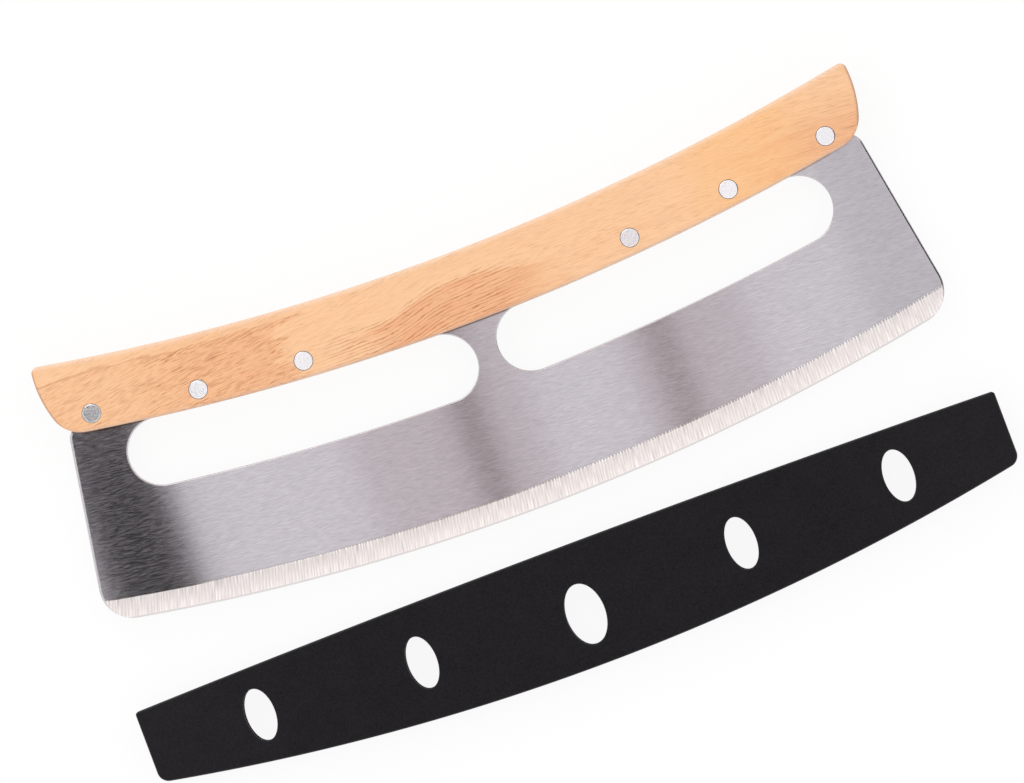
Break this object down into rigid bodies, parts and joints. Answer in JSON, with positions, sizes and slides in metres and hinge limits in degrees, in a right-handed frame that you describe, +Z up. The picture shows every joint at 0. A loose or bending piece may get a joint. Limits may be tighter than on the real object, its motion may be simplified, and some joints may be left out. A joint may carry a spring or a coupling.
{
  "type": "rocking pizza knife",
  "caption": "Long curved rocking knife with a riveted wooden handle along its back, finger slots below it, and a slim slide-on edge cover with oval windows.",
  "frame": {"origin": "on the surface that the set lies on, under the middle of the knife and the cover that lies beside its edge", "axes": "+X along the knife, +Y from the cutting edge towards the handle, +Z up, square to the flat of the blade"},
  "size_m": [0.3466, 0.1804, 0.018],
  "materials": {
    "blade_steel": "satin, brushed along the length, coarser grinding across the edge",
    "handle_wood": "smooth oiled light hardwood, short dark pores along the length",
    "rivet_metal": "ground flush, matt",
    "cover_plastic": "fine matt texture"
  },
  "bodies": {
    "knife": {"blade": "blade_steel", "front_scale": "handle_wood", "rear_scale": "handle_wood", "rivet_socket_1": "rivet_metal", "rivet_socket_2": "rivet_metal", "rivet_socket_3": "rivet_metal", "rivet_socket_4": "rivet_metal", "rivet_socket_5": "rivet_metal", "rivet_socket_6": "rivet_metal", "rivet_pin_1": "rivet_metal", "rivet_pin_2": "rivet_metal", "rivet_pin_3": "rivet_metal", "rivet_pin_4": "rivet_metal", "rivet_pin_5": "rivet_metal", "rivet_pin_6": "rivet_metal"},
    "cover": {"blade_cover": "cover_plastic"}
  },
  "joints": [
    {"name": "cover_slide", "type": "slide", "parent": "knife", "child": "cover", "axis": [0, 1, 0], "range_m": [0, 0.0613]}
  ]
}
